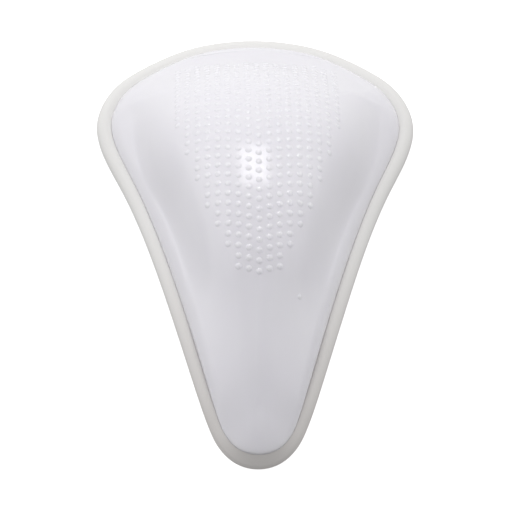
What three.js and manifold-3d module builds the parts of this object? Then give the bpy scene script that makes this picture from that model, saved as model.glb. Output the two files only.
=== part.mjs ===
// Groin guard: a moulded cup with a raised grip field and a soft bead round its edge.
// Millimetres. +Z is up, the narrow tip points to -Y and the cup lies with its hollow side down.
import * as THREE from 'three';
import { mergeVertices } from 'three/addons/utils/BufferGeometryUtils.js';
import Module from 'manifold-3d';

// Sizes of the whole
const LENGTH = 151.1; // tip to top, over the bead
const WALL = 2.0; // moulded wall of the cup
const GAP = 0.3; // clearance between the cup's skirt and the slot of the bead

// Bead round the edge, measured from the bead's axis
const BEAD_RADIUS = 3.0;
const SLOT_FLOOR = -0.6; // floor of the slot that holds the skirt
const LIP_THICKNESS = 1.5; // inner lip of the bead, behind the wall
const LIP_RISE = 1.7; // top of the inner lip, above the axis
const REST_WIDTH = 0.6; // flat under the bead, outward of the axis
const HEEL = 0.8; // chamfer at the inner foot of the bead
const FLANK_START = -Math.PI / 4; // lowest corner of the bead's round outer side, from level
const FLANK_END = Math.PI / 2; // highest corner of it, where the seam lies behind the bead's top
const FLANK_SHARES = [0, 1 / 3, 2 / 3, 1];

// Edge of the cup from tip to top: half width and distance from the tip of the bead's axis, lift of the
// bead off the surface it lies on, height of the rolled edge of the wall above the seam, how far the seam
// lies inside and above the bead's axis, and slope of the wing beside it
const EDGE_ROWS = [
  { half: 0.0, fromTip: 3.0, lift: 0.0, roll: 0.8, inset: -0.75, rise: 4.7, slope: 0.39 },
  { half: 5.4, fromTip: 4.3, lift: 0.6, roll: 0.8, inset: -0.6, rise: 4.4, slope: 0.39 },
  { half: 9.2, fromTip: 7.7, lift: 1.9, roll: 1.0, inset: -0.3, rise: 3.9, slope: 0.39 },
  { half: 11.6, fromTip: 12.0, lift: 3.5, roll: 2.0, inset: 0.0, rise: 3.4, slope: 0.43 },
  { half: 14.9, fromTip: 20.8, lift: 6.0, roll: 3.6, inset: 0.4, rise: 3.0, slope: 0.6 },
  { half: 20.0, fromTip: 37.3, lift: 8.0, roll: 5.0, inset: 0.7, rise: 2.92, slope: 0.75 },
  { half: 25.2, fromTip: 54.8, lift: 8.0, roll: 5.0, inset: 0.8, rise: 2.89, slope: 0.85 },
  { half: 30.9, fromTip: 73.4, lift: 6.0, roll: 4.0, inset: 0.8, rise: 2.89, slope: 0.92 },
  { half: 37.8, fromTip: 92.5, lift: 3.0, roll: 2.4, inset: 0.9, rise: 2.86, slope: 0.95 },
  { half: 44.4, fromTip: 108.0, lift: 0.5, roll: 1.6, inset: 1.3, rise: 2.7, slope: 0.99 },
  { half: 46.8, fromTip: 119.5, lift: 0.0, roll: 1.4, inset: 1.7, rise: 2.47, slope: 0.99 },
  { half: 43.9, fromTip: 128.4, lift: 0.0, roll: 1.4, inset: 1.7, rise: 2.47, slope: 0.99 },
  { half: 38.0, fromTip: 134.9, lift: 0.0, roll: 1.4, inset: 1.6, rise: 2.54, slope: 0.95 },
  { half: 27.3, fromTip: 141.6, lift: 0.0, roll: 1.6, inset: 1.4, rise: 2.65, slope: 0.8 },
  { half: 15.5, fromTip: 146.2, lift: 0.0, roll: 1.8, inset: 1.2, rise: 2.75, slope: 0.65 },
  { half: 0.0, fromTip: 148.1, lift: 0.0, roll: 1.8, inset: 1.2, rise: 2.75, slope: 0.6 },
];

// Dome of the cup from tip to top: height of its ridge, half width and height of its foot, and the
// power of its flanks, which turn down more sharply as the power grows
const DOME_ROWS = [
  { fromTip: 0.8, ridge: 5.2, foot: 6.0, sill: 3.0, power: 2.2 },
  { fromTip: 8.4, ridge: 13.4, foot: 8.5, sill: 8.5, power: 2.2 },
  { fromTip: 20.8, ridge: 20.0, foot: 12.5, sill: 15.0, power: 2.2 },
  { fromTip: 36.8, ridge: 28.4, foot: 17.0, sill: 19.0, power: 2.4 },
  { fromTip: 50.8, ridge: 35.8, foot: 20.5, sill: 17.5, power: 3.2 },
  { fromTip: 60.8, ridge: 39.3, foot: 23.2, sill: 16.0, power: 4.0 },
  { fromTip: 70.8, ridge: 41.4, foot: 26.0, sill: 15.0, power: 4.8 },
  { fromTip: 80.8, ridge: 42.0, foot: 29.2, sill: 14.5, power: 5.4 },
  { fromTip: 92.8, ridge: 41.2, foot: 33.2, sill: 14.5, power: 5.8 },
  { fromTip: 104.8, ridge: 37.9, foot: 35.4, sill: 14.5, power: 6.0 },
  { fromTip: 114.8, ridge: 32.8, foot: 35.4, sill: 15.0, power: 6.2 },
  { fromTip: 123.8, ridge: 26.2, foot: 33.5, sill: 15.0, power: 6.4 },
  { fromTip: 130.8, ridge: 19.6, foot: 31.0, sill: 13.5, power: 6.4 },
  { fromTip: 136.8, ridge: 12.4, foot: 28.0, sill: 10.0, power: 6.4 },
  { fromTip: 142.8, ridge: 4.6, foot: 25.0, sill: 2.0, power: 6.4 },
  { fromTip: 150.8, ridge: -6.0, foot: 22.0, sill: -8.0, power: 6.4 },
];
const LEAST_DROP = 2.0; // from the dome's crown to its foot
const CROWN_RADIUS = 53.0; // of the arch across the top of the dome

// Wing between the rolled edge and the dome
const ROLL_WIDTH = 2.8;
const WING_REACH = 30.0; // distance over which the wing levels out
const BLEND = 4.4; // height difference of wing and dome within which their crease is rounded

// Raised grip field: columns across the cup, dots along each of them measured on the surface
const COLUMN_PITCH = 3.05;
const ROW_PITCH = 3.15;
const CHEVRON = 0.92; // shift toward the top from each column to the next one outward
const FIELD_START = 48.7; // lowest dot of the middle column, from the tip
const FIELD_TOP = 135.4;
const FIELD_STEP = 0.25;
const SKIPPED_ROWS = [0, 0, 0, 2, 4, 6, 9, 12, 17]; // dots left out below, middle column first
const ABOVE_CUP = 100; // height from which the surface is looked for
const DOT = { radius: 1.0, height: 0.45, depth: 0.25, sides: 5 };

// Small moulding pip beside the field
const PIP = { radius: 0.8, height: 0.35, depth: 0.25, sides: 5 };
const PIP_ACROSS = 12.0;
const PIP_FROM_TIP = 43.9;

// Shallow lens-shaped recess under the top edge
const LENS_HALF = 21.5;
const LENS_FROM_TIP = 138.0; // lower edge in the middle
const LENS_WIDTH = 5.6;
const LENS_LIFT = 3.2; // rise of the lower edge toward the ends
const LENS_DEPTH = 0.4;
const LENS_CLEAR = 2.0;
const LENS_STEPS = 12;

// Fineness of the faceted solids
const STEPS_PER_ROW = 3;
const OUTER_SHARES = [0.32, 0.54, 0.68, 0.8, 0.92, 1]; // of the half width, one side
const INNER_SHARES = [0.32, 0.56, 0.7, 0.8, 1];
const SEAM_SAMPLES_PER_ROW = 12;
const DOME_SAMPLES_PER_ROW = 24;
const FAIRING_ROUNDS = 60;
const NUDGE = 0.001;
const WELD = 0.0001;

const wasm = await Module();
wasm.setup();

// Weighted sum of table rows, column by column
function blendRows(rows, weights) {
  const sum = {};
  for (const column of Object.keys(rows[0])) {
    sum[column] = rows.reduce((total, row, i) => total + weights[i] * row[column], 0);
  }
  return sum;
}

// Row of a table, carried on past the ends of an open one and round a closed one
function rowAt(rows, index, closed) {
  const last = rows.length - 1;
  if (closed) {
    return rows[(index + rows.length) % rows.length];
  }
  if (index < 0) {
    return blendRows([rows[0], rows[1]], [2, -1]);
  }
  if (index > last) {
    return blendRows([rows[last], rows[last - 1]], [2, -1]);
  }
  return rows[index];
}

// Control rows of the smooth curve that passes through every row of a table
function fairedRows(rows, closed) {
  let control = rows;
  for (let round = 0; round < FAIRING_ROUNDS; round += 1) {
    const current = control;
    control = rows.map((row, i) => {
      const before = rowAt(current, i - 1, closed);
      const after = rowAt(current, i + 1, closed);
      return blendRows([row, current[i], before, after], [1, 2 / 6, -1 / 6, -1 / 6]);
    });
  }
  return control;
}

// Point of a cubic curve at a place counted in rows
function splineRow(control, place, closed) {
  const start = closed ? Math.floor(place) : Math.min(Math.floor(place), control.length - 2);
  const f = place - start;
  const near = [-1, 0, 1, 2].map((step) => rowAt(control, start + step, closed));
  const weights = [
    (1 - f) ** 3,
    3 * f ** 3 - 6 * f ** 2 + 4,
    -3 * f ** 3 + 3 * f ** 2 + 3 * f + 1,
    f ** 3,
  ];
  return blendRows(near, weights.map((weight) => weight / 6));
}

// Whole edge as a closed table: tip, right side, top, left side
function edgeLoop() {
  const inner = EDGE_ROWS.slice(1, -1).reverse();
  return [...EDGE_ROWS, ...inner.map((row) => ({ ...row, half: -row.half }))];
}

const EDGE_CONTROL = fairedRows(edgeLoop(), true);
const DOME_CONTROL = fairedRows(DOME_ROWS, false);
const TOP_PLACE = EDGE_ROWS.length - 1;

// Bead's axis and outward direction at a place on the edge, with the heights of axis and seam
function edgeAt(place) {
  const row = splineRow(EDGE_CONTROL, place, true);
  const behind = splineRow(EDGE_CONTROL, place - NUDGE + EDGE_CONTROL.length, true);
  const ahead = splineRow(EDGE_CONTROL, place + NUDGE, true);
  const run = new THREE.Vector2(ahead.half - behind.half, ahead.fromTip - behind.fromTip).normalize();
  const level = row.lift + BEAD_RADIUS;
  return {
    axis: new THREE.Vector2(row.half, row.fromTip),
    out: new THREE.Vector2(run.y, -run.x),
    level,
    seam: level + row.rise,
    inset: row.inset,
    roll: row.roll,
    slope: row.slope,
  };
}

// Plan point on the wall of the cup, inset from its outer face
function wallPoint(edge, inset) {
  return edge.axis.clone().addScaledVector(edge.out, -(edge.inset + inset));
}

function seamSamples() {
  const count = EDGE_CONTROL.length * SEAM_SAMPLES_PER_ROW;
  return Array.from({ length: count }, (_, i) => {
    const edge = edgeAt(i / SEAM_SAMPLES_PER_ROW);
    return { point: wallPoint(edge, 0), seam: edge.seam, roll: edge.roll, slope: edge.slope };
  });
}

function domeSamples() {
  const count = (DOME_ROWS.length - 1) * DOME_SAMPLES_PER_ROW;
  return Array.from({ length: count + 1 }, (_, i) =>
    splineRow(DOME_CONTROL, i / DOME_SAMPLES_PER_ROW, false));
}

const SEAM = seamSamples();
const DOME = domeSamples();

// Nearest place on the seam, with its distance in plan
function nearestSeam(x, y) {
  const here = new THREE.Vector2(x, y);
  let best = { distance: Infinity };
  SEAM.forEach((start, i) => {
    const end = SEAM[(i + 1) % SEAM.length];
    const side = end.point.clone().sub(start.point);
    const along = here.clone().sub(start.point).dot(side) / side.lengthSq();
    const f = THREE.MathUtils.clamp(along, 0, 1);
    const distance = start.point.clone().addScaledVector(side, f).distanceTo(here);
    if (distance < best.distance) {
      const between = (column) => THREE.MathUtils.lerp(start[column], end[column], f);
      best = { distance, seam: between('seam'), roll: between('roll'), slope: between('slope') };
    }
  });
  return best;
}

// Dome's section at a distance from the tip, with the slope of its ridge
function domeAt(y) {
  const next = DOME.findIndex((row, i) => i > 0 && row.fromTip >= y);
  const end = next > 0 ? next : DOME.length - 1;
  const start = end - 1;
  const span = DOME[end].fromTip - DOME[start].fromTip;
  const f = (y - DOME[start].fromTip) / span;
  const slope = (DOME[end].ridge - DOME[start].ridge) / span;
  return { ...blendRows([DOME[start], DOME[end]], [1 - f, f]), slope };
}

function wingHeight(x, y, inset) {
  const near = nearestSeam(x, y);
  const back = THREE.MathUtils.clamp(1 - (near.distance - inset) / ROLL_WIDTH, 0, 1);
  const rolled = (near.roll - inset) * Math.sqrt(1 - back * back);
  const rise = near.slope * WING_REACH * (1 - Math.exp(-near.distance / WING_REACH));
  return near.seam + rolled + rise;
}

function domeHeight(x, y, inset) {
  const row = domeAt(y);
  const ridge = row.ridge - inset * Math.sqrt(1 + row.slope ** 2);
  const drop = Math.max(ridge - row.sill - row.foot ** 2 / (2 * CROWN_RADIUS), LEAST_DROP);
  const flank = drop * (Math.abs(x) / (row.foot - inset)) ** row.power;
  return ridge - x ** 2 / (2 * CROWN_RADIUS) - flank;
}

// Height of the cup's surface: outer face at inset 0, inner face at an inset of one wall
function surfaceHeight(x, y, inset) {
  const wing = wingHeight(x, y, inset);
  const dome = domeHeight(x, y, inset);
  const nearness = THREE.MathUtils.clamp(1 - Math.abs(wing - dome) / BLEND, 0, 1);
  return Math.max(wing, dome) + (BLEND * nearness ** 2) / 4;
}

// Places on the right half of the edge, tip to top
function halfPlaces() {
  const count = TOP_PLACE * STEPS_PER_ROW;
  return Array.from({ length: count + 1 }, (_, i) => i / STEPS_PER_ROW);
}

// Rows of surface points across the cup, each row level in plan between the two sides of the edge
function surfaceRows(shares, inset) {
  const across = [...shares.map((share) => -share).reverse(), 0, ...shares];
  return halfPlaces().map((place) => {
    const edge = edgeAt(place);
    const side = wallPoint(edge, inset);
    return across.map((share) => {
      const x = side.x * share;
      const atEdge = Math.abs(share) === 1;
      const z = atEdge ? edge.seam : surfaceHeight(x, side.y, inset);
      return new THREE.Vector3(x, side.y, z);
    });
  });
}

// Ring of points where the surface meets the seam, counter-clockwise from the tip as seen from above
function seamRing(rows) {
  const right = rows.map((row) => row[row.length - 1]);
  const left = rows.slice(1, -1).reverse().map((row) => row[0]);
  return [...right, ...left];
}

// Foot of the skirt below a ring on the seam, just clear of the floor of the bead's slot
function skirtFoot(ring) {
  const right = halfPlaces().map((place) => edgeAt(place).level);
  const levels = [...right, ...right.slice(1, -1).reverse()];
  return ring.map((point, k) => new THREE.Vector3(point.x, point.y, levels[k] + SLOT_FLOOR + GAP));
}

function addTriangle(triangles, a, b, c) {
  const flat = a.distanceTo(b) < WELD || b.distanceTo(c) < WELD || c.distanceTo(a) < WELD;
  if (!flat) {
    triangles.push(a, b, c);
  }
}

function addQuad(triangles, a, b, c, d) {
  addTriangle(triangles, a, b, c);
  addTriangle(triangles, a, c, d);
}

// Grid of points joined into faces that look up
function addGrid(triangles, rows) {
  for (let i = 0; i + 1 < rows.length; i += 1) {
    for (let j = 0; j + 1 < rows[i].length; j += 1) {
      addQuad(triangles, rows[i][j], rows[i][j + 1], rows[i + 1][j + 1], rows[i + 1][j]);
    }
  }
}

// Band between two closed rings, facing out when the first one is below
function addBand(triangles, lower, upper) {
  lower.forEach((point, k) => {
    const next = (k + 1) % lower.length;
    addQuad(triangles, point, lower[next], upper[next], upper[k]);
  });
}

function closedBody(triangles) {
  return mergeVertices(new THREE.BufferGeometry().setFromPoints(triangles), WELD);
}

function toManifold(geometry) {
  return new wasm.Manifold(new wasm.Mesh({
    numProp: 3,
    vertProperties: new Float32Array(geometry.attributes.position.array),
    triVerts: new Uint32Array(geometry.index.array),
  }));
}

function fromManifold(solid) {
  const mesh = solid.getMesh();
  const geometry = new THREE.BufferGeometry();
  geometry.setAttribute('position', new THREE.BufferAttribute(mesh.vertProperties, 3));
  geometry.setIndex(new THREE.BufferAttribute(mesh.triVerts, 1));
  return geometry;
}

// Cup without its raised field
function plainCup() {
  const triangles = [];
  const outer = surfaceRows(OUTER_SHARES, 0);
  const inner = surfaceRows(INNER_SHARES, WALL);
  addGrid(triangles, outer);
  addGrid(triangles, inner.map((row) => [...row].reverse()));
  const outerRing = seamRing(outer);
  const innerRing = seamRing(inner);
  addBand(triangles, skirtFoot(outerRing), outerRing);
  addBand(triangles, innerRing, skirtFoot(innerRing));
  addBand(triangles, skirtFoot(innerRing), skirtFoot(outerRing));
  return closedBody(triangles);
}

// One raised dot: a low faceted cone whose foot is sunk in the facet of the cup below a plan point
function dotTriangles(cup, x, y, dot) {
  const ray = new THREE.Raycaster(new THREE.Vector3(x, y, ABOVE_CUP), new THREE.Vector3(0, 0, -1));
  const facet = ray.intersectObject(cup)[0];
  const turn = new THREE.Quaternion().setFromUnitVectors(new THREE.Vector3(0, 0, 1), facet.face.normal);
  const place = (point) => point.applyQuaternion(turn).add(facet.point);
  const footRadius = dot.radius * (1 + dot.depth / dot.height);
  const apex = place(new THREE.Vector3(0, 0, dot.height));
  const ring = Array.from({ length: dot.sides }, (_, k) => {
    const angle = (2 * Math.PI * k) / dot.sides;
    const foot = new THREE.Vector3(Math.cos(angle), Math.sin(angle), 0).multiplyScalar(footRadius);
    return place(foot.setZ(-dot.depth));
  });
  const triangles = [];
  ring.forEach((point, k) => {
    addTriangle(triangles, point, ring[(k + 1) % ring.length], apex);
  });
  for (let k = 1; k + 1 < ring.length; k += 1) {
    addTriangle(triangles, ring[0], ring[k + 1], ring[k]);
  }
  return triangles;
}

// Distances from the tip of the dots in one column, spaced evenly along the surface
function columnPlaces(x, skipped, shift) {
  const places = [];
  let travelled = 0;
  let wanted = shift + skipped * ROW_PITCH;
  for (let y = FIELD_START; y < FIELD_TOP; y += FIELD_STEP) {
    const rise = surfaceHeight(x, y + FIELD_STEP, 0) - surfaceHeight(x, y, 0);
    const length = Math.hypot(FIELD_STEP, rise);
    if (travelled + length > wanted) {
      places.push(y + (FIELD_STEP * (wanted - travelled)) / length);
      wanted += ROW_PITCH;
    }
    travelled += length;
  }
  return places;
}

function fieldTriangles(cup) {
  const triangles = [];
  SKIPPED_ROWS.forEach((skipped, column) => {
    const x = column * COLUMN_PITCH;
    const sides = column === 0 ? [0] : [x, -x];
    columnPlaces(x, skipped, column * CHEVRON).forEach((y) => {
      sides.forEach((side) => triangles.push(...dotTriangles(cup, side, y, DOT)));
    });
  });
  return triangles;
}

// Cutter for the lens: from the recess floor up to well clear of the surface
function lensTriangles() {
  const outline = (s, across) => {
    const x = LENS_HALF * s;
    const lower = LENS_FROM_TIP + LENS_LIFT * Math.abs(s) ** 3;
    const y = lower + across * LENS_WIDTH * (1 - s * s);
    return new THREE.Vector3(x, y, surfaceHeight(x, y, 0) - LENS_DEPTH);
  };
  const stations = Array.from({ length: LENS_STEPS + 1 }, (_, k) => (2 * k) / LENS_STEPS - 1);
  const floor = [0, 0.5, 1].map((across) => stations.map((s) => outline(s, across)));
  const raise = (point) => point.clone().setZ(point.z + LENS_DEPTH + LENS_CLEAR);
  const roof = floor.map((row) => row.map(raise));
  const ringOf = (rows) => [...rows[0], ...rows[2].slice(1, -1).reverse()];
  const triangles = [];
  addGrid(triangles, floor.map((row) => [...row].reverse()));
  addGrid(triangles, roof);
  addBand(triangles, ringOf(floor), ringOf(roof));
  return triangles;
}

function shellGeometry() {
  const cup = plainCup();
  const facets = new THREE.Mesh(cup);
  const pip = dotTriangles(facets, PIP_ACROSS, PIP_FROM_TIP, PIP);
  const dots = toManifold(closedBody([...fieldTriangles(facets), ...pip]));
  const lens = toManifold(closedBody(lensTriangles()));
  return fromManifold(toManifold(cup).subtract(lens).add(dots));
}

// Section of the bead at a place on the edge, as outward and upward offsets from its axis, counter-clockwise.
// Where the seam stands above the round of the bead, a straight face joins the two.
function beadSection(edge) {
  const rise = edge.seam - edge.level;
  const lip = GAP - edge.inset;
  const back = -edge.inset - WALL - GAP;
  const heel = back - LIP_THICKNESS;
  const reach = Math.max(Math.hypot(lip, rise), BEAD_RADIUS);
  const crown = Math.min(Math.atan2(rise, lip) - Math.acos(BEAD_RADIUS / reach), FLANK_END);
  const flank = FLANK_SHARES.map((share) => {
    const angle = THREE.MathUtils.lerp(FLANK_START, crown, share);
    return [BEAD_RADIUS * Math.cos(angle), BEAD_RADIUS * Math.sin(angle)];
  });
  return [
    [lip, SLOT_FLOOR],
    [back, SLOT_FLOOR],
    [back, LIP_RISE],
    [heel, LIP_RISE - HEEL],
    [heel, -BEAD_RADIUS + HEEL],
    [heel + HEEL, -BEAD_RADIUS],
    [REST_WIDTH, -BEAD_RADIUS],
    ...flank,
    [lip, rise],
  ];
}

function rimGeometry() {
  const count = EDGE_CONTROL.length * STEPS_PER_ROW;
  const sections = Array.from({ length: count }, (_, k) => {
    const edge = edgeAt(k / STEPS_PER_ROW);
    return beadSection(edge).map(([outward, upward]) => {
      const plan = edge.axis.clone().addScaledVector(edge.out, outward);
      return new THREE.Vector3(plan.x, plan.y, edge.level + upward);
    });
  });
  const rings = sections[0].map((_, i) => sections.map((section) => section[i]));
  const triangles = [];
  rings.forEach((ring, i) => addBand(triangles, ring, rings[(i + 1) % rings.length]));
  return closedBody(triangles);
}

// Mesh with the middle of the cup's length on the origin
function namedMesh(name, geometry, material) {
  geometry.translate(0, -LENGTH / 2, 0);
  geometry.computeVertexNormals();
  const mesh = new THREE.Mesh(geometry, material);
  mesh.name = name;
  return mesh;
}

const shellPlastic = new THREE.MeshStandardMaterial({ name: 'shell_plastic', color: 0xe4e2e8 });
const rimRubber = new THREE.MeshStandardMaterial({ name: 'rim_rubber', color: 0xe3e1dd });

const guard = new THREE.Group();
guard.name = 'groin_guard';
guard.add(namedMesh('shell', shellGeometry(), shellPlastic));
guard.add(namedMesh('edge_rim', rimGeometry(), rimRubber));

export default guard;
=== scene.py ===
"""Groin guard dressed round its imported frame: a moulded cup with raised dots and a soft bead at its edge.

Tables and sizes are in millimetres, measured from the tip of the guard along its length, and become metres
in the row frame when a mesh is made.
"""
import math
from collections import namedtuple

import bpy
import numpy as np
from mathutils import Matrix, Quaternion, Vector


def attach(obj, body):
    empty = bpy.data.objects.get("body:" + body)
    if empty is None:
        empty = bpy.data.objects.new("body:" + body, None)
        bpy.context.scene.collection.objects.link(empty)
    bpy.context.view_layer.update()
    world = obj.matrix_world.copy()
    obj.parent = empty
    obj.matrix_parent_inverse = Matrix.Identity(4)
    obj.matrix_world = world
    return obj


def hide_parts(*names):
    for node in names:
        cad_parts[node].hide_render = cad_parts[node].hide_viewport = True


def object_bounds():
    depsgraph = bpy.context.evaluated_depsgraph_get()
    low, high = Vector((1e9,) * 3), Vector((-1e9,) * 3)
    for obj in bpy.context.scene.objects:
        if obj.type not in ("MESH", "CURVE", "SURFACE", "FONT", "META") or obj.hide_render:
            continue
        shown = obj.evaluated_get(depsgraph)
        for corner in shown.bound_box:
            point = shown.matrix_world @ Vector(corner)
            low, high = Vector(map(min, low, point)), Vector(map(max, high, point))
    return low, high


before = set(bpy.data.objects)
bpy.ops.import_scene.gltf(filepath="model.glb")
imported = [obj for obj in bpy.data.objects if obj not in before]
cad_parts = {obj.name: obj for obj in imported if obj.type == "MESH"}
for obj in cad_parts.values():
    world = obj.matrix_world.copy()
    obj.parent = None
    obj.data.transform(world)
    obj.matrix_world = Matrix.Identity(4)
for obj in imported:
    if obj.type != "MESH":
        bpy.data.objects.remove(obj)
cad_low, cad_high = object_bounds()

# Sizes of the whole
MM = 0.001
MIDDLE = (cad_high[1] - cad_low[1]) / MM / 2
WALL = 2.0
GAP = 0.3
SEAM_GAP = 0.01

# Bead round the edge, measured from the bead's axis
BEAD_RADIUS = 3.0
SLOT_FLOOR = -0.6
LIP_THICKNESS = 1.5
LIP_RISE = 1.7
LIP_ROUND = 0.2
LIP_CROWN = 95.0
FLANK_START = -75.0
REST_WIDTH = 0.6
HEEL = 0.8

# Edge from tip to top: half width and distance from the tip of the bead's axis, lift off the floor, height of
# the rolled edge, how far the seam lies inside and above the axis, and slope of the wing beside it
EDGE_ROWS = np.array((
    (0.0, 3.0, 0.0, 0.8, -0.75, 4.7, 0.39),
    (5.4, 4.3, 0.6, 0.8, -0.6, 4.4, 0.39),
    (9.2, 7.7, 1.9, 1.0, -0.3, 3.9, 0.39),
    (11.6, 12.0, 3.5, 2.0, 0.0, 3.4, 0.43),
    (14.9, 20.8, 6.0, 3.6, 0.4, 3.0, 0.6),
    (20.0, 37.3, 8.0, 5.0, 0.7, 2.92, 0.75),
    (25.2, 54.8, 8.0, 5.0, 0.8, 2.89, 0.85),
    (30.9, 73.4, 6.0, 4.0, 0.8, 2.89, 0.92),
    (37.8, 92.5, 3.0, 2.4, 0.9, 2.86, 0.95),
    (44.4, 108.0, 0.5, 1.6, 1.3, 2.7, 0.99),
    (46.8, 119.5, 0.0, 1.4, 1.7, 2.47, 0.99),
    (43.9, 128.4, 0.0, 1.4, 1.7, 2.47, 0.99),
    (38.0, 134.9, 0.0, 1.4, 1.6, 2.54, 0.95),
    (27.3, 141.6, 0.0, 1.6, 1.4, 2.65, 0.8),
    (15.5, 146.2, 0.0, 1.8, 1.2, 2.75, 0.65),
    (0.0, 148.1, 0.0, 1.8, 1.2, 2.75, 0.6),
))
HALF, FROM_TIP, LIFT, ROLL, INSET, RISE, SLOPE = range(7)

# Dome from tip to top: distance from the tip, height of the ridge, half width and height of the foot,
# power of the cross section
DOME_ROWS = np.array((
    (0.8, 5.2, 6.0, 3.0, 2.2),
    (8.4, 13.4, 8.5, 8.5, 2.2),
    (20.8, 20.0, 12.5, 15.0, 2.2),
    (36.8, 28.4, 17.0, 19.0, 2.4),
    (50.8, 35.8, 20.5, 17.5, 3.2),
    (60.8, 39.3, 23.2, 16.0, 4.0),
    (70.8, 41.4, 26.0, 15.0, 4.8),
    (80.8, 42.0, 29.2, 14.5, 5.4),
    (92.8, 41.2, 33.2, 14.5, 5.8),
    (104.8, 37.9, 35.4, 14.5, 6.0),
    (114.8, 32.8, 35.4, 15.0, 6.2),
    (123.8, 26.2, 33.5, 15.0, 6.4),
    (130.8, 19.6, 31.0, 13.5, 6.4),
    (136.8, 12.4, 28.0, 10.0, 6.4),
    (142.8, 4.6, 25.0, 2.0, 6.4),
    (150.8, -6.0, 22.0, -8.0, 6.4),
))
STATION, RIDGE, FOOT, SILL, POWER = range(5)

# Least drop from the crown of the dome to its foot, and radius of the arch across it
LEAST_DROP = 2.0
CROWN_RADIUS = 53.0

# Wing between the rolled edge and the dome: width of the roll, distance over which the wing levels out, and
# height difference within which the crease between wing and dome is rounded
ROLL_WIDTH = 2.8
WING_REACH = 30.0
BLEND = 4.4

# Raised dots: columns across the cup, dots along each of them measured on the surface
COLUMN_PITCH = 3.05
ROW_PITCH = 3.15
CHEVRON = 0.92
FIELD_START = 48.7
FIELD_TOP = 135.4
FIELD_STEP = 0.05
SKIPPED_ROWS = (0, 0, 0, 2, 4, 6, 9, 12, 17)
DOT_RADIUS = 1.0
DOT_HEIGHT = 0.26
PIP_RADIUS = 0.8
PIP_HEIGHT = 0.2
PIP_PLACE = (12.0, 43.9)
# Share of the radius and of the height at each ring of a dot, from its sunk foot to its crown
DOT_RINGS = ((1.06, -0.6), (1.0, 0.0), (0.86, 0.28), (0.66, 0.59), (0.4, 0.855), (0.2, 0.964))
DOT_SIDES = 16

# Shallow lens-shaped recess under the top edge
LENS_HALF = 21.5
LENS_FROM_TIP = 138.0
LENS_WIDTH = 5.6
LENS_LIFT = 3.2
LENS_DEPTH = 0.16
LENS_LEAST_DEPTH = 0.02
LENS_CLEAR = 2.0
LENS_STEPS = 96
LENS_BANDS = 8

# Fineness of the meshes
FAIRING_ROUNDS = 60
EDGE_SAMPLES = 3000
DOME_SAMPLES = 3000
SHELL_ROWS = 240
OUTER_COLUMNS = 90
INNER_COLUMNS = 24
RIM_STEPS = 480
ROUND_STEPS = 12
SEAM_POINTS = 900
SHARP_ANGLE = math.radians(28)
CHUNK = 4000
NUDGE = 0.001

# Plastic of the shell: flow marks, fine skin, colour and roughness over the flow marks, and how far light
# spreads inside, in metres
FLOW_SCALE = 35.0
FLOW_DETAIL = 3.0
SKIN_SCALE = 2600.0
SKIN_DETAIL = 2.0
SKIN_STRENGTH = 0.08
SKIN_HEIGHT = 0.00002
PLASTIC_LOW = (0.795, 0.785, 0.822, 1)
PLASTIC_HIGH = (0.812, 0.803, 0.836, 1)
PLASTIC_ROUGHNESS = (0.16, 0.20)
PLASTIC_IOR = 1.49
SCATTER_DEPTH = 0.0015
SCATTER_RADIUS = (1.0, 1.0, 1.0)

# Rubber of the bead: places along the guard, in metres from the middle, between which painted shade runs,
# the colour at both (greyed by painted shade at the tip), clouds of roughness, fine grain
PAINTED_SHADE_START = -0.11
PAINTED_SHADE_END = 0.05
# Painted shade: the rubber's colour at the tip is greyed to stand for the shade that falls on the front of
# the bead
RUBBER_TIP_PAINTED_SHADE = (0.70, 0.675, 0.66, 1)
RUBBER_TOP = (0.80, 0.792, 0.78, 1)
RUBBER_ROUGHNESS = (0.62, 0.74)
CLOUD_SCALE = 60.0
CLOUD_DETAIL = 4.0
GRAIN_SCALE = 3800.0
GRAIN_DETAIL = 3.0
GRAIN_STRENGTH = 0.2
GRAIN_HEIGHT = 0.00003

# Values between which a texture is spread over a colour or a number
VALUE_LOW = 0.3
VALUE_HIGH = 0.7

# Camera, matched to the photograph
CAMERA_ELEVATION = math.radians(60)
CAMERA_AZIMUTH = math.radians(2.5)
CAMERA_ROLL = math.radians(2.4)
CAMERA_DISTANCE = 0.9
CAMERA_AIM = (-0.0006, -0.00735, 0.0106)
IMAGE_SIZE = 510
METRES_PER_PIXEL = 0.0003038
SENSOR_WIDTH = 36.0

# Floor and lights
FLOOR_SIZE = 6.0
FLOOR_COLOUR = (0.93, 0.93, 0.93, 1)
WORLD_COLOUR = (1.0, 1.0, 1.0, 1)
WORLD_FRONT = 0.31
WORLD_BACK = 0.92
FLOOR_GLOW = 0.72
FLOOR_ROUGHNESS = 0.9
# Soft lights: azimuth and elevation in degrees, distance and size in metres, power in watts.
# Azimuth 90 is behind the guard, as the camera sees it, and 180 is on its left.
LIGHTS = {
    "key": (93, 60, 0.5, 0.15, 0.4),
    "upper_left": (150, 60, 1.0, 1.2, 0.9),
    "left": (175, 30, 1.0, 1.2, 2.4),
    "right": (5, 40, 1.0, 1.2, 1.7),
}


def neighbour(rows, step, closed):
    """Every row's neighbour one step away, carried on past the ends of an open table."""
    if closed:
        return np.roll(rows, -step, axis=0)
    if step > 0:
        return np.vstack((rows[1:], 2 * rows[-1:] - rows[-2:-1]))
    return np.vstack((2 * rows[:1] - rows[1:2], rows[:-1]))


def faired(rows, closed):
    """Control rows of the smooth curve that passes through every row of a table."""
    control = rows.copy()
    for _ in range(FAIRING_ROUNDS):
        reached = (neighbour(control, -1, closed) + 4 * control + neighbour(control, 1, closed)) / 6
        control = control + rows - reached
    return control


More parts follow.
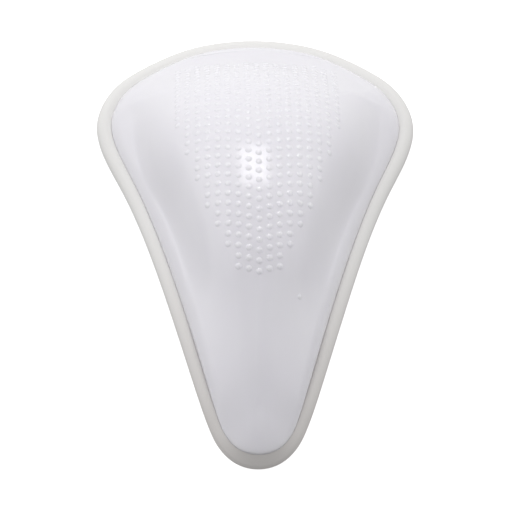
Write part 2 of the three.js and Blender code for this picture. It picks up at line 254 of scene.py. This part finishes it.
def spline(control, places, closed):
    """Rows of a cubic curve at places counted in table rows."""
    start = np.floor(places).astype(int)
    if not closed:
        start = np.minimum(start, len(control) - 2)
    f = (places - start)[:, None]
    start = start % len(control)
    before = neighbour(control, -1, closed)
    after = neighbour(control, 1, closed)
    beyond = neighbour(after, 1, closed)
    return ((1 - f) ** 3 * before[start]
            + (3 * f ** 3 - 6 * f ** 2 + 4) * control[start]
            + (-3 * f ** 3 + 3 * f ** 2 + 3 * f + 1) * after[start]
            + f ** 3 * beyond[start]) / 6


def edge_loop():
    """The whole edge as a closed table: tip, right side, top, left side."""
    left = EDGE_ROWS[-2:0:-1].copy()
    left[:, HALF] *= -1
    return np.vstack((EDGE_ROWS, left))


EDGE_CONTROL = faired(edge_loop(), True)
TOP_PLACE = len(EDGE_ROWS) - 1


Edge = namedtuple("Edge", "axis out level roll inset seam slope")


def edge_at(places):
    """Bead's axis and outward direction in plan, heights, inset of the seam and slope of the wing."""
    rows = spline(EDGE_CONTROL, places, True)
    run = spline(EDGE_CONTROL, places + NUDGE, True) - spline(EDGE_CONTROL, places - NUDGE, True)
    run = run[:, :2] / np.linalg.norm(run[:, :2], axis=1)[:, None]
    out = np.column_stack((run[:, 1], -run[:, 0]))
    level = rows[:, LIFT] + BEAD_RADIUS
    seam = level + rows[:, RISE]
    return Edge(rows[:, :2], out, level, rows[:, ROLL], rows[:, INSET], seam, rows[:, SLOPE])


def even_places(first, last, count, closed):
    """Places along the edge that are evenly spaced by length."""
    fine = np.linspace(first, last, EDGE_SAMPLES)
    plan = spline(EDGE_CONTROL, fine, True)[:, :2]
    length = np.concatenate(([0.0], np.cumsum(np.linalg.norm(np.diff(plan, axis=0), axis=1))))
    wanted = np.linspace(0, length[-1], count, endpoint=not closed)
    return np.interp(wanted, length, fine)


RIM_EDGE = edge_at(even_places(0, len(EDGE_CONTROL), SEAM_POINTS, True))
SEAM = RIM_EDGE.axis - RIM_EDGE.inset[:, None] * RIM_EDGE.out
DOME = spline(faired(DOME_ROWS, False), np.linspace(0, len(DOME_ROWS) - 1, DOME_SAMPLES), False)
DOME_SLOPE = np.gradient(DOME[:, RIDGE], DOME[:, STATION])


def nearest_seam(points):
    """Distance in plan to the seam, with its height and roll there and the slope of the wing."""
    following = np.roll(np.arange(len(SEAM)), -1)
    leading = np.roll(np.arange(len(SEAM)), 1)
    results = []
    for first in range(0, len(points), CHUNK):
        part = points[first:first + CHUNK]
        gaps = ((part[:, None, :] - SEAM[None, :, :]) ** 2).sum(axis=2)
        nearest = gaps.argmin(axis=1)
        best = None
        for start, end in ((leading[nearest], nearest), (nearest, following[nearest])):
            side = SEAM[end] - SEAM[start]
            along = ((part - SEAM[start]) * side).sum(axis=1) / (side ** 2).sum(axis=1)
            f = np.clip(along, 0, 1)
            distance = np.linalg.norm(SEAM[start] + f[:, None] * side - part, axis=1)
            carried = [column[start] * (1 - f) + column[end] * f
                       for column in (RIM_EDGE.seam, RIM_EDGE.roll, RIM_EDGE.slope)]
            found = np.column_stack((distance, *carried))
            best = found if best is None else np.where((distance < best[:, 0])[:, None], found, best)
        results.append(best)
    return np.vstack(results).T


def dome_column(y, column):
    return np.interp(y, DOME[:, STATION], DOME[:, column])


def wing_height(x, y, inset):
    distance, seam, roll, slope = nearest_seam(np.column_stack((x, y)))
    back = np.clip(1 - (distance - inset) / ROLL_WIDTH, 0, 1)
    rolled = (roll - inset) * np.sqrt(1 - back ** 2)
    rise = slope * WING_REACH * (1 - np.exp(-distance / WING_REACH))
    return seam + rolled + rise


def dome_height(x, y, inset):
    slope = np.interp(y, DOME[:, STATION], DOME_SLOPE)
    ridge = dome_column(y, RIDGE) - inset * np.sqrt(1 + slope ** 2)
    foot = dome_column(y, FOOT)
    drop = np.maximum(ridge - dome_column(y, SILL) - foot ** 2 / (2 * CROWN_RADIUS), LEAST_DROP)
    flank = drop * (np.abs(x) / (foot - inset)) ** dome_column(y, POWER)
    return ridge - x ** 2 / (2 * CROWN_RADIUS) - flank


def surface_height(x, y, inset=0.0):
    """Height of the cup's outer face, or of its inner face at an inset of one wall."""
    wing = wing_height(x, y, inset)
    dome = dome_height(x, y, inset)
    nearness = np.clip(1 - np.abs(wing - dome) / BLEND, 0, 1)
    return np.maximum(wing, dome) + BLEND * nearness ** 2 / 4


def surface_normal(x, y):
    step = FIELD_STEP
    across = (surface_height(x + step, y) - surface_height(x - step, y)) / (2 * step)
    along = (surface_height(x, y + step) - surface_height(x, y - step)) / (2 * step)
    normal = np.column_stack((-across, -along, np.ones_like(across)))
    return normal / np.linalg.norm(normal, axis=1)[:, None]


class MeshParts:
    """Points in millimetres from the tip, and faces, gathered into one mesh in metres."""

    def __init__(self):
        self.points = []
        self.faces = []

    def add_points(self, points):
        first = len(self.points)
        self.points.extend(map(tuple, points))
        return list(range(first, len(self.points)))

    def add_face(self, corners):
        kept = list(dict.fromkeys(corners))
        if len(kept) > 2:
            self.faces.append(kept)

    def add_grid(self, rows):
        for lower, upper in zip(rows, rows[1:]):
            for j in range(len(lower) - 1):
                self.add_face((lower[j], lower[j + 1], upper[j + 1], upper[j]))

    def add_band(self, lower, upper):
        for k in range(len(lower)):
            n = (k + 1) % len(lower)
            self.add_face((lower[k], lower[n], upper[n], upper[k]))

    def to_object(self, name):
        points = (np.array(self.points) - (0, MIDDLE, 0)) * MM
        mesh = bpy.data.meshes.new(name)
        mesh.from_pydata(points.tolist(), [], self.faces)
        mesh.validate()
        obj = bpy.data.objects.new(name, mesh)
        bpy.context.scene.collection.objects.link(obj)
        return obj


def surface_rows(parts, columns, inset):
    """Grid of vertex numbers over one face of the cup; the first and last rows are single points."""
    places = even_places(0, TOP_PLACE, SHELL_ROWS, False)
    edge = edge_at(places)
    side = edge.axis - (edge.inset + inset)[:, None] * edge.out
    share = np.sin(np.linspace(-math.pi / 2, math.pi / 2, 2 * columns + 1))
    x = side[:, :1] * share[None, :]
    y = np.repeat(side[:, 1:], len(share), axis=1)
    z = surface_height(x.ravel(), y.ravel(), inset).reshape(x.shape)
    z[:, 0] = edge.seam
    z[:, -1] = edge.seam
    rows = []
    for i in range(len(places)):
        if i in (0, len(places) - 1):
            point = (0.0, side[i, 1], edge.seam[i])
            rows.append(parts.add_points([point]) * len(share))
        else:
            rows.append(parts.add_points(np.column_stack((x[i], y[i], z[i]))))
    return rows


def seam_ring(rows):
    return [row[-1] for row in rows] + [row[0] for row in rows[-2:0:-1]]


def skirt_foot(parts, ring):
    """Foot of the skirt below a ring of the seam, just clear of the floor of the bead's slot."""
    level = edge_at(even_places(0, TOP_PLACE, SHELL_ROWS, False)).level
    feet = np.concatenate((level, level[-2:0:-1])) + SLOT_FLOOR + GAP
    return parts.add_points([(*parts.points[k][:2], foot) for k, foot in zip(ring, feet)])


def plain_cup():
    """The cup without its raised dots, closed, with a skirt that stands in the bead."""
    parts = MeshParts()
    outer = surface_rows(parts, OUTER_COLUMNS, 0.0)
    inner = surface_rows(parts, INNER_COLUMNS, WALL)
    parts.add_grid(outer)
    parts.add_grid([row[::-1] for row in inner])
    outer_ring = seam_ring(outer)
    inner_ring = seam_ring(inner)
    outer_foot = skirt_foot(parts, outer_ring)
    inner_foot = skirt_foot(parts, inner_ring)
    parts.add_band(outer_foot, outer_ring)
    parts.add_band(inner_ring, inner_foot)
    parts.add_band(inner_foot, outer_foot)
    return parts.to_object("shell_moulding")


def column_places(x, skipped, shift):
    """Distances from the tip of the dots in one column, spaced evenly along the surface."""
    y = np.arange(FIELD_START, FIELD_TOP, FIELD_STEP)
    z = surface_height(np.full_like(y, x), y)
    travelled = np.concatenate(([0.0], np.cumsum(np.hypot(np.diff(y), np.diff(z)))))
    wanted = np.arange(shift + skipped * ROW_PITCH, travelled[-1], ROW_PITCH)
    return np.interp(wanted, travelled, y)


def dot_places():
    places = []
    for column, skipped in enumerate(SKIPPED_ROWS):
        x = column * COLUMN_PITCH
        for y in column_places(x, skipped, column * CHEVRON):
            places.extend((side, y) for side in {x, -x})
    return np.array(sorted(places))


def add_dots(parts, places, radius, height):
    """Low round domes whose feet are sunk in the surface of the cup."""
    x, y = places.T
    centres = np.column_stack((x, y, surface_height(x, y)))
    normals = surface_normal(x, y)
    angles = np.linspace(0, 2 * math.pi, DOT_SIDES, endpoint=False)
    for centre, normal in zip(centres, normals):
        across = np.cross((0.0, 1.0, 0.0), normal)
        across /= np.linalg.norm(across)
        along = np.cross(normal, across)
        spokes = np.cos(angles)[:, None] * across + np.sin(angles)[:, None] * along
        rings = [parts.add_points(centre + radius * wide * spokes + height * high * normal)
                 for wide, high in DOT_RINGS]
        for lower, upper in zip(rings, rings[1:]):
            parts.add_band(lower, upper)
        crown = parts.add_points([centre + height * normal])[0]
        for k in range(DOT_SIDES):
            parts.add_face((rings[-1][k], rings[-1][(k + 1) % DOT_SIDES], crown))
        parts.add_face(rings[0][::-1])


def dots_object():
    parts = MeshParts()
    add_dots(parts, dot_places(), DOT_RADIUS, DOT_HEIGHT)
    add_dots(parts, np.array([PIP_PLACE]), PIP_RADIUS, PIP_HEIGHT)
    return parts.to_object("dots")


def lens_object():
    """Cutter for the lens: from the floor of the recess up to well clear of the surface."""
    s = np.linspace(-1, 1, LENS_STEPS + 1)
    parts = MeshParts()
    floor = []
    roof = []
    for across in np.linspace(0, 1, LENS_BANDS + 1):
        x = LENS_HALF * s
        y = LENS_FROM_TIP + LENS_LIFT * np.abs(s) ** 3 + across * LENS_WIDTH * (1 - s ** 2)
        z = surface_height(x, y)
        depth = np.maximum(LENS_DEPTH * np.abs(s), LENS_LEAST_DEPTH)
        floor.append(parts.add_points(np.column_stack((x, y, z - depth))))
        roof.append(parts.add_points(np.column_stack((x, y, z + LENS_CLEAR))))
    for rows in (floor, roof):
        for row in rows[1:]:
            row[0] = rows[0][0]
            row[-1] = rows[0][-1]
    parts.add_grid([row[::-1] for row in floor])
    parts.add_grid(roof)
    parts.add_band(floor[0] + floor[-1][-2:0:-1], roof[0] + roof[-1][-2:0:-1])
    return parts.to_object("lens")


def join_solids(obj, other, operation):
    """Applies a boolean of two closed meshes to the first and removes the second."""
    modifier = obj.modifiers.new("join", "BOOLEAN")
    modifier.operation = operation
    modifier.solver = "MANIFOLD"
    modifier.object = other
    view = bpy.context.evaluated_depsgraph_get()
    mesh = bpy.data.meshes.new_from_object(obj.evaluated_get(view))
    obj.modifiers.remove(modifier)
    obj.data = mesh
    bpy.data.objects.remove(other)


def smooth(obj):
    mesh = obj.data
    mesh.polygons.foreach_set("use_smooth", [True] * len(mesh.polygons))
    mesh.set_sharp_from_angle(angle=SHARP_ANGLE)


def arc(out, up, radius, first, last):
    """Round stretch of the bead's section between two angles, which may vary along the bead."""
    shares = np.linspace(0, 1, ROUND_STEPS)[:, None]
    angles = np.radians(first + (last - first) * shares)
    sides = np.broadcast_arrays(out + radius * np.cos(angles), up + radius * np.sin(angles))
    return np.stack(sides, axis=-1)


def rounded_lip(wall, corner, face):
    """Rounded corner of the lip, from the face of the bead to the wall of its slot."""
    to_wall = (wall - corner) / np.linalg.norm(wall - corner, axis=-1, keepdims=True)
    to_face = (face - corner) / np.linalg.norm(face - corner, axis=-1, keepdims=True)
    t = np.linspace(0, 1, ROUND_STEPS)[:, None, None]
    return corner + LIP_ROUND * ((1 - t) ** 2 * to_face + t ** 2 * to_wall)


def bead_section(edge):
    """Section of the bead as outward and upward offsets from its axis, for every place along the edge."""
    rise = edge.seam - edge.level
    lip = SEAM_GAP - edge.inset
    back = -edge.inset - WALL - GAP
    heel = back - LIP_THICKNESS
    floor_line = np.full_like(lip, SLOT_FLOOR)
    reach = np.maximum(np.hypot(lip, rise), BEAD_RADIUS)
    crown = np.degrees(np.arctan2(rise, lip) - np.arccos(BEAD_RADIUS / reach))
    flank = arc(0, 0, BEAD_RADIUS, FLANK_START, np.minimum(crown, LIP_CROWN))
    slot_wall = np.stack((lip, floor_line), axis=-1)
    lip_round = rounded_lip(slot_wall, np.stack((lip, rise), axis=-1), flank[-1])
    return np.concatenate((
        slot_wall[None],
        np.stack((back, floor_line), axis=-1)[None],
        arc(back - LIP_THICKNESS / 2, LIP_RISE - LIP_THICKNESS / 2, LIP_THICKNESS / 2, 0, 180),
        arc(heel + HEEL, HEEL - BEAD_RADIUS, HEEL, 180, 270),
        np.broadcast_to((REST_WIDTH, -BEAD_RADIUS), (1, len(lip), 2)),
        flank,
        lip_round,
    ))


def edge_rim():
    edge = edge_at(even_places(0, len(EDGE_CONTROL), RIM_STEPS, True))
    parts = MeshParts()
    rings = []
    for offset in bead_section(edge):
        plan = edge.axis + offset[:, :1] * edge.out
        rings.append(parts.add_points(np.column_stack((plan, edge.level + offset[:, 1]))))
    for ring, following in zip(rings, rings[1:] + rings[:1]):
        parts.add_band(ring, following)
    return parts.to_object("rim_bead")


def shell():
    cup = plain_cup()
    join_solids(cup, lens_object(), "DIFFERENCE")
    join_solids(cup, dots_object(), "UNION")
    return cup


def new_material(name):
    material = bpy.data.materials.new(name)
    material.use_nodes = True
    nodes = material.node_tree.nodes
    return material, nodes, material.node_tree.links, nodes["Principled BSDF"]


def noise(nodes, links, scale, detail):
    """Noise in the object's own coordinates."""
    place = nodes.new("ShaderNodeTexCoord")
    texture = nodes.new("ShaderNodeTexNoise")
    texture.inputs["Scale"].default_value = scale
    texture.inputs["Detail"].default_value = detail
    links.new(place.outputs["Object"], texture.inputs["Vector"])
    return texture.outputs["Fac"]


def ramp(nodes, links, source, low, high):
    """Colour that runs from low to high with a texture's value."""
    node = nodes.new("ShaderNodeValToRGB")
    node.color_ramp.elements[0].position = VALUE_LOW
    node.color_ramp.elements[1].position = VALUE_HIGH
    node.color_ramp.elements[0].color = low
    node.color_ramp.elements[1].color = high
    links.new(source, node.inputs["Fac"])
    return node.outputs["Color"]


def spread(nodes, links, source, low, high):
    """Number that runs from low to high with a texture's value."""
    node = nodes.new("ShaderNodeMapRange")
    node.inputs["From Min"].default_value = VALUE_LOW
    node.inputs["From Max"].default_value = VALUE_HIGH
    node.inputs["To Min"].default_value = low
    node.inputs["To Max"].default_value = high
    links.new(source, node.inputs["Value"])
    return node.outputs["Result"]


def bump(nodes, links, source, strength, distance):
    node = nodes.new("ShaderNodeBump")
    node.inputs["Strength"].default_value = strength
    node.inputs["Distance"].default_value = distance
    links.new(source, node.inputs["Height"])
    return node.outputs["Normal"]


def shell_plastic():
    """Satin polypropylene, white with a cool cast, with the faint flow marks of moulding."""
    material, nodes, links, shader = new_material("shell_plastic")
    flow = noise(nodes, links, FLOW_SCALE, FLOW_DETAIL)
    skin = noise(nodes, links, SKIN_SCALE, SKIN_DETAIL)
    links.new(ramp(nodes, links, flow, PLASTIC_LOW, PLASTIC_HIGH), shader.inputs["Base Color"])
    links.new(spread(nodes, links, flow, *PLASTIC_ROUGHNESS), shader.inputs["Roughness"])
    links.new(bump(nodes, links, skin, SKIN_STRENGTH, SKIN_HEIGHT), shader.inputs["Normal"])
    shader.inputs["IOR"].default_value = PLASTIC_IOR
    shader.inputs["Subsurface Weight"].default_value = 1.0
    shader.inputs["Subsurface Scale"].default_value = SCATTER_DEPTH
    shader.inputs["Subsurface Radius"].default_value = SCATTER_RADIUS
    return material


def painted_shade_share(nodes, links):
    """Share of the way from the painted shade at the tip to the unshaded rubber colour toward the top."""
    place = nodes.new("ShaderNodeTexCoord")
    parts = nodes.new("ShaderNodeSeparateXYZ")
    share = nodes.new("ShaderNodeMapRange")
    share.inputs["From Min"].default_value = PAINTED_SHADE_START
    share.inputs["From Max"].default_value = PAINTED_SHADE_END
    links.new(place.outputs["Object"], parts.inputs["Vector"])
    links.new(parts.outputs["Y"], share.inputs["Value"])
    return share.outputs["Result"]


def rim_rubber():
    """Matte thermoplastic rubber, warm white, with painted shade greying it toward the tip, and a fine grain.
    """
    material, nodes, links, shader = new_material("rim_rubber")
    cloud = noise(nodes, links, CLOUD_SCALE, CLOUD_DETAIL)
    grain = noise(nodes, links, GRAIN_SCALE, GRAIN_DETAIL)
    painted_shade = painted_shade_share(nodes, links)
    # Painted shade: the base colour darkens toward the tip, standing for the shade that falls there
    links.new(ramp(nodes, links, painted_shade, RUBBER_TIP_PAINTED_SHADE, RUBBER_TOP), shader.inputs["Base Color"])
    links.new(spread(nodes, links, cloud, *RUBBER_ROUGHNESS), shader.inputs["Roughness"])
    links.new(bump(nodes, links, grain, GRAIN_STRENGTH, GRAIN_HEIGHT), shader.inputs["Normal"])
    return material


def dress(obj, node, material):
    """Finishes a piece that stands for a CAD node."""
    smooth(obj)
    obj.data.materials.clear()
    obj.data.materials.append(material)
    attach(obj, "root")
    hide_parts(node)


def floor():
    """Plain white ground that glows, so that hardly any shadow shows, hidden from diffuse and mirror rays."""
    half = FLOOR_SIZE / 2
    corners = [(-half, -half, 0), (half, -half, 0), (half, half, 0), (-half, half, 0)]
    mesh = bpy.data.meshes.new("floor")
    mesh.from_pydata(corners, [], [(0, 1, 2, 3)])
    obj = bpy.data.objects.new("floor", mesh)
    obj.visible_diffuse = False
    obj.visible_glossy = False
    bpy.context.scene.collection.objects.link(obj)
    material, _, _, shader = new_material("floor_paper")
    shader.inputs["Base Color"].default_value = FLOOR_COLOUR
    shader.inputs["Roughness"].default_value = FLOOR_ROUGHNESS
    shader.inputs["Emission Color"].default_value = FLOOR_COLOUR
    shader.inputs["Emission Strength"].default_value = FLOOR_GLOW
    mesh.materials.append(material)


def aim(obj, target, roll=0.0):
    """Points a light or the camera at a target, turned about its own axis by the roll."""
    direction = Vector(target) - obj.location
    turned = direction.to_track_quat("-Z", "Y") @ Quaternion((0, 0, 1), roll)
    obj.rotation_euler = turned.to_euler()


def soft_light(name, azimuth, elevation, distance, size, power):
    """Square light aimed at the guard."""
    data = bpy.data.lights.new(name, "AREA")
    data.size = size
    data.energy = power
    obj = bpy.data.objects.new(name, data)
    bpy.context.scene.collection.objects.link(obj)
    turn = math.radians(azimuth)
    climb = math.radians(elevation)
    toward = Vector((math.cos(climb) * math.cos(turn), math.cos(climb) * math.sin(turn), math.sin(climb)))
    obj.location = toward * distance
    aim(obj, (0, 0, 0))


def world_light():
    """Light from all round, brightest from behind the guard."""
    world = bpy.data.worlds.new("studio")
    world.use_nodes = True
    nodes = world.node_tree.nodes
    background = nodes["Background"]
    background.inputs["Color"].default_value = WORLD_COLOUR
    place = nodes.new("ShaderNodeTexCoord")
    parts = nodes.new("ShaderNodeSeparateXYZ")
    shade = nodes.new("ShaderNodeMapRange")
    shade.inputs["From Min"].default_value = -1.0
    shade.inputs["To Min"].default_value = WORLD_FRONT
    shade.inputs["To Max"].default_value = WORLD_BACK
    links = world.node_tree.links
    links.new(place.outputs["Generated"], parts.inputs["Vector"])
    links.new(parts.outputs["Y"], shade.inputs["Value"])
    links.new(shade.outputs["Result"], background.inputs["Strength"])
    bpy.context.scene.world = world


def camera():
    data = bpy.data.cameras.new("camera")
    data.sensor_width = SENSOR_WIDTH
    data.lens = SENSOR_WIDTH * CAMERA_DISTANCE / (METRES_PER_PIXEL * IMAGE_SIZE)
    obj = bpy.data.objects.new("camera", data)
    bpy.context.scene.collection.objects.link(obj)
    level = math.cos(CAMERA_ELEVATION)
    across = -level * math.sin(CAMERA_AZIMUTH)
    along = -level * math.cos(CAMERA_AZIMUTH)
    toward = Vector((across, along, math.sin(CAMERA_ELEVATION)))
    obj.location = Vector(CAMERA_AIM) + toward * CAMERA_DISTANCE
    aim(obj, CAMERA_AIM, CAMERA_ROLL)
    bpy.context.scene.camera = obj


def main():
    dress(shell(), "shell", shell_plastic())
    dress(edge_rim(), "edge_rim", rim_rubber())
    floor()
    world_light()
    for name, row in LIGHTS.items():
        soft_light(name, *row)
    camera()
    bpy.context.scene.view_settings.view_transform = "Standard"


main()
